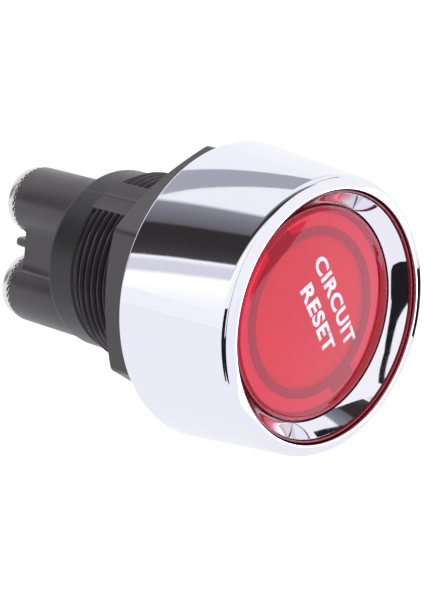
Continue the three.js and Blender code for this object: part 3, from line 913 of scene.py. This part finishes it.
def make_lock_washer(name, centre, body_name):
    """A toothed washer; its teeth are twisted out of the flat."""
    teeth = 32
    front = BOSS_END + 0.05
    hole = 2.15
    tooth_root = 3.2
    edge = 0.05

    def outline_at(angle):
        wave = math.cos(teeth * angle)
        tooth = max(0.0, min(1.0, 0.5 + 1.4 * wave))
        outer = 3.85 + 0.28 * tooth
        twist = 0.08 * math.sin(teeth * angle) * tooth
        low = front + 0.09 + twist
        high = front + 0.35 + twist
        return [
            (hole, front + 0.1),
            (tooth_root, front + 0.1),
            (outer - edge, low),
            (outer, low + edge),
            (outer, high - edge),
            (outer - edge, high),
            (tooth_root, front + 0.34),
            (hole, front + 0.34),
        ]

    place = (centre.x, centre.z)
    washer = swept(f"star_washer_{name}", outline_at, 384, "nickel_steel", body_name, centre=place)
    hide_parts(f"lock_washer_{name}")


def make_screw(name, centre, body_name):
    """A pan-head screw with a cross recess and a real thread on its shank."""
    seat = BOSS_END + 0.55
    top = seat + 1.5
    tip = seat - 8.0
    head_radius = 3.95
    pitch = 0.7
    head = rounded(
        [
            (1.95, seat),
            (head_radius, seat, 0.12),
            (head_radius, seat + 0.9, 0.6),
            (3.1, top, 0.9),
            (0.0, top),
        ],
        steps=6,
    )

    def outline_at(angle):
        shank = [(0.0, tip), (1.5, tip), (1.7, tip + 0.25)]
        steps = 80
        for i in range(steps + 1):
            depth = tip + 0.4 + (seat - 0.5 - tip - 0.4) * i / steps
            phase = (depth / pitch - angle / (2 * math.pi)) % 1.0
            shank.append((1.60 + 0.35 * (1 - abs(2 * phase - 1)), depth))
        return shank + head

    place = (centre.x, centre.z)
    screw = swept(f"pan_screw_{name}", outline_at, 72, "nickel_steel", body_name, centre=place)
    for turn in (30, 120):
        along = Vector((math.cos(math.radians(turn)), math.sin(math.radians(turn))))
        across = Vector((-along.y, along.x))
        slot = rounded([(-2.1, -0.4, 0.15), (2.1, -0.4, 0.15), (2.1, 0.4, 0.15), (-2.1, 0.4, 0.15)])
        outline = [tuple(Vector(place) + along * a + across * b) for a, b in slot]
        cutter = prism("recess", outline, top - 0.7, top + 0.5, 0.05, "nickel_steel", body_name)
        combine(screw, cutter, "DIFFERENCE")
    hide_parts(f"terminal_screw_{name}")


make_bezel()
make_threaded_body()
make_gasket()
make_terminal_base()
make_lens()
make_trim_ring()
make_carrier()
make_lens_clip()
make_diffuser()
make_legend()
make_springs()
make_nut()
for side, centre in (("upper", UPPER), ("lower", LOWER)):
    make_lock_washer(side, centre, f"washer_{side}")
    make_screw(side, centre, f"screw_{side}")


# ---------------------------------------------------------------- carried-over CAD nodes
def paint_cad_nodes():
    slots = {entry["node"]: entry["material_slot"] for entry in frame["record"]["subparts"]}
    for name, node in frame["nodes"].items():
        for material_slot in node.material_slots:
            material_slot.material = MATERIALS[slots[name]]


paint_cad_nodes()


# ---------------------------------------------------------------- studio
def stage_material(name, colour):
    material, _, shader = new_material(name)
    shader.inputs["Roughness"].default_value = 0.9
    shader.inputs["Specular IOR Level"].default_value = 0.0
    shader.inputs["Base Color"].default_value = (*colour, 1)
    return material


def stage_mesh(name, vertices, faces, material):
    mesh = bpy.data.meshes.new(name)
    mesh.from_pydata(vertices, [], faces)
    mesh.materials.append(material)
    piece = bpy.data.objects.new(name, mesh)
    scene.collection.objects.link(piece)
    return piece


FLOOR_LEVEL = -0.30


def level_square(reach, height):
    corners = [(-reach, -reach), (reach, -reach), (reach, reach), (-reach, reach)]
    return [(x, y, height) for x, y in corners]


def make_floor():
    white = stage_material("floor_white", (0.95, 0.95, 0.955))
    stage_mesh("floor", level_square(4.0, FLOOR_LEVEL), [(0, 1, 2, 3)], white)


def only_in_reflections(piece):
    piece.visible_camera = False
    piece.visible_diffuse = False
    piece.visible_shadow = False
    piece.visible_transmission = False


def glow_material(name, colour):
    """The material of a lit card: an even soft light of one colour."""
    material, _, shader = new_material(name)
    shader.inputs["Base Color"].default_value = (0, 0, 0, 1)
    shader.inputs["Specular IOR Level"].default_value = 0.0
    shader.inputs["Emission Color"].default_value = (*colour, 1)
    shader.inputs["Emission Strength"].default_value = 1.0
    return material


TENT_RADIUS = 0.45
TENT_TWIST = 100.0  # degrees for each metre along the axis
TENT_TWIST_AT = 0.27  # depth where the bands stand at their own angles
TENT_BANDS = (  # angle from +X towards +Z, tone
    (40, (0.96, 0.96, 1.0)),
    (83, (0.95, 0.95, 0.97)),
    (99, (0.95, 0.95, 0.96)),
    (102, (0.27, 0.27, 0.32)),
    (110, (0.20, 0.20, 0.23)),
    (118.5, (0.135, 0.132, 0.15)),
    (120.5, (0.036, 0.030, 0.030)),
    (133, (0.036, 0.031, 0.033)),
    (144, (0.060, 0.056, 0.064)),
    (145, (1.10, 1.10, 1.10)),
    (148, (0.74, 0.73, 0.79)),
    (155, (0.72, 0.71, 0.77)),
    (157.5, (1.15, 1.15, 1.15)),
    (166, (1.12, 1.12, 1.12)),
    (172, (1.04, 1.04, 1.04)),
    (190, (0.98, 0.98, 0.99)),
)


def make_tent():
    """The lit tent over the button: a tube round its axis whose tone changes with the angle."""
    material = glow_material("tent_tones", (1, 1, 1))
    tree = material.node_tree
    shader = tree.nodes["Principled BSDF"]
    where = add_node(tree, "ShaderNodeTexCoord")
    parts = add_node(tree, "ShaderNodeSeparateXYZ")
    tree.links.new(where.outputs["Object"], parts.inputs["Vector"])
    turn = add_node(tree, "ShaderNodeMath", operation="ARCTAN2")
    tree.links.new(parts.outputs["Z"], turn.inputs[0])
    tree.links.new(parts.outputs["X"], turn.inputs[1])
    shift = add_node(tree, "ShaderNodeMath", operation="MULTIPLY_ADD")
    tree.links.new(parts.outputs["Y"], shift.inputs[0])
    shift.inputs[1].default_value = -math.radians(TENT_TWIST)
    shift.inputs[2].default_value = math.radians(TENT_TWIST) * TENT_TWIST_AT
    total = add_node(tree, "ShaderNodeMath", operation="ADD")
    tree.links.new(turn.outputs[0], total.inputs[0])
    tree.links.new(shift.outputs[0], total.inputs[1])
    low = math.radians(TENT_BANDS[0][0])
    high = math.radians(TENT_BANDS[-1][0])
    share = remap(tree, total.outputs[0], low, high, 0.0, 1.0)
    ramp = add_node(tree, "ShaderNodeValToRGB")
    stops = ramp.color_ramp.elements
    while len(stops) < len(TENT_BANDS):
        stops.new(1.0)
    for stop, band in zip(stops, TENT_BANDS):
        stop.position = (math.radians(band[0]) - low) / (high - low)
    for i, band in enumerate(TENT_BANDS):  # placing a stop can change its number, so colours come after
        stops[i].color = (*band[1], 1)
    tree.links.new(share, ramp.inputs["Fac"])
    tree.links.new(ramp.outputs["Color"], shader.inputs["Emission Color"])
    steps = 60
    first_angle = 35
    arc = 140
    vertices = []
    for i in range(steps + 1):
        angle = math.radians(first_angle + arc * i / steps)
        for depth in (-0.25, 1.2):
            vertices.append((TENT_RADIUS * math.cos(angle), depth, TENT_RADIUS * math.sin(angle)))
    faces = [(2 * i, 2 * i + 1, 2 * i + 3, 2 * i + 2) for i in range(steps)]
    only_in_reflections(stage_mesh("tent", vertices, faces, material))


def slanted_card():
    """A grey card inside the tent whose long edges run aslant."""
    rows = 12
    columns = 6
    radius = 0.43
    front = 0.235
    rear = 0.345
    low_angle = 57.0
    high_angle = 87.5
    lean = 500.0  # degrees for each metre along the axis
    vertices = []
    for i in range(rows + 1):
        depth = front + (rear - front) * i / rows
        start = low_angle + lean * (depth - 0.30)
        for step in range(columns + 1):
            angle = math.radians(start + (high_angle - low_angle) * step / columns)
            vertices.append((radius * math.cos(angle), depth, radius * math.sin(angle)))
    faces = []
    for i in range(rows):
        for step in range(columns):
            first = i * (columns + 1) + step
            above = first + columns + 1
            faces.append((first, first + 1, above + 1, above))
    material = glow_material("grey_card", (0.40, 0.41, 0.465))
    only_in_reflections(stage_mesh("grey_card", vertices, faces, material))


def ground_card():
    """What polished faces see below them in place of the bright floor."""
    square = level_square(2.5, FLOOR_LEVEL + 0.02)
    material = glow_material("ground_card", (0.925, 0.925, 0.965))
    only_in_reflections(stage_mesh("ground_card", square, [(0, 1, 2, 3)], material))


def sky_point(azimuth, elevation, distance):
    """A point seen from the origin, by its azimuth from the front towards +X and its elevation."""
    a = math.radians(azimuth)
    e = math.radians(elevation)
    direction = Vector((math.sin(a) * math.cos(e), -math.cos(a) * math.cos(e), math.sin(e)))
    return tuple(direction * distance)


def sky_card(name, colour, corners, distance=0.5):
    """A flat card from corners given as azimuth and elevation."""
    vertices = [sky_point(azimuth, elevation, distance) for azimuth, elevation in corners]
    faces = [tuple(range(len(vertices)))]
    only_in_reflections(stage_mesh(name, vertices, faces, glow_material(name, colour)))


def sky_strip(name, colour, rungs, distance=0.4):
    """A curved strip of card from rungs, each a left azimuth, a right azimuth and an elevation."""
    vertices = []
    for left, right, elevation in rungs:
        vertices.append(sky_point(left, elevation, distance))
        vertices.append(sky_point(right, elevation, distance))
    faces = [(2 * i, 2 * i + 1, 2 * i + 3, 2 * i + 2) for i in range(len(rungs) - 1)]
    only_in_reflections(stage_mesh(name, vertices, faces, glow_material(name, colour)))


def area_light(name, place, aim, size, power, colour):
    data = bpy.data.lights.new(name, "AREA")
    data.size = size
    data.energy = power
    data.color = colour
    light = bpy.data.objects.new(name, data)
    scene.collection.objects.link(light)
    light.location = place
    light.rotation_euler = (Vector(aim) - Vector(place)).to_track_quat("-Z", "Y").to_euler()
    light.visible_glossy = False
    light.visible_camera = False


CARD_BLACK = (0.012, 0.012, 0.016)
WINDOW_GLOW = (3.4, 3.4, 4.0)
WINDOW_CORNERS = ((12, -35), (17.4, -17), (28, -7), (45, 3), (60, 6), (74, 6), (74, -38), (40, -42))
RIGHT_DARK_CORNERS = ((72, -20.5), (72, -12), (100, -11), (128, -12), (128, -20.5), (100, -21.5))
LEFT_DARK_RUNGS = (
    (-62, -51.5, -41),
    (-70, -47.5, -38),
    (-78, -45.5, -33),
    (-80, -45.5, -20),
    (-78, -46, -12),
    (-55.5, -47, -9),
    (-51, -45.5, 6.5),
    (-45.5, -42, 29),
    (-33, -30, 51),
)
FAR_LEFT_DARK_RUNGS = ((-100, -79, -41), (-104, -79, -14), (-104, -67, -12), (-100, -67, 9))
UPPER_DARK_RUNGS = ((80, 88, 38), (72, 78, 46), (56.5, 62, 57), (45, 51, 61.7), (38, 43, 64.5))


def make_studio():
    """A pale room with soft lights; the tent and cards are what the chrome and the lens reflect."""
    world = bpy.data.worlds.new("studio")
    scene.world = world
    world.use_nodes = True
    background = world.node_tree.nodes["Background"]
    background.inputs["Color"].default_value = (0.98, 0.98, 0.99, 1)
    background.inputs["Strength"].default_value = 1.0
    area_light("key", (-0.5, -0.7, 1.1), (0, 0, 0), 0.8, 5.0, (1.0, 0.99, 0.97))
    area_light("floor_fill", (0.0, 1.0, 2.2), (0, 0.8, FLOOR_LEVEL), 3.0, 25.0, (1.0, 1.0, 1.0))
    make_tent()
    slanted_card()
    ground_card()
    sky_card("window", WINDOW_GLOW, WINDOW_CORNERS, 0.52)
    sky_strip("left_dark", CARD_BLACK, LEFT_DARK_RUNGS)
    sky_strip("far_left_dark", CARD_BLACK, FAR_LEFT_DARK_RUNGS)
    sky_strip("upper_dark", CARD_BLACK, UPPER_DARK_RUNGS)
    sky_card("right_dark", CARD_BLACK, RIGHT_DARK_CORNERS)


make_floor()
make_studio()
scene.view_settings.view_transform = "Standard"
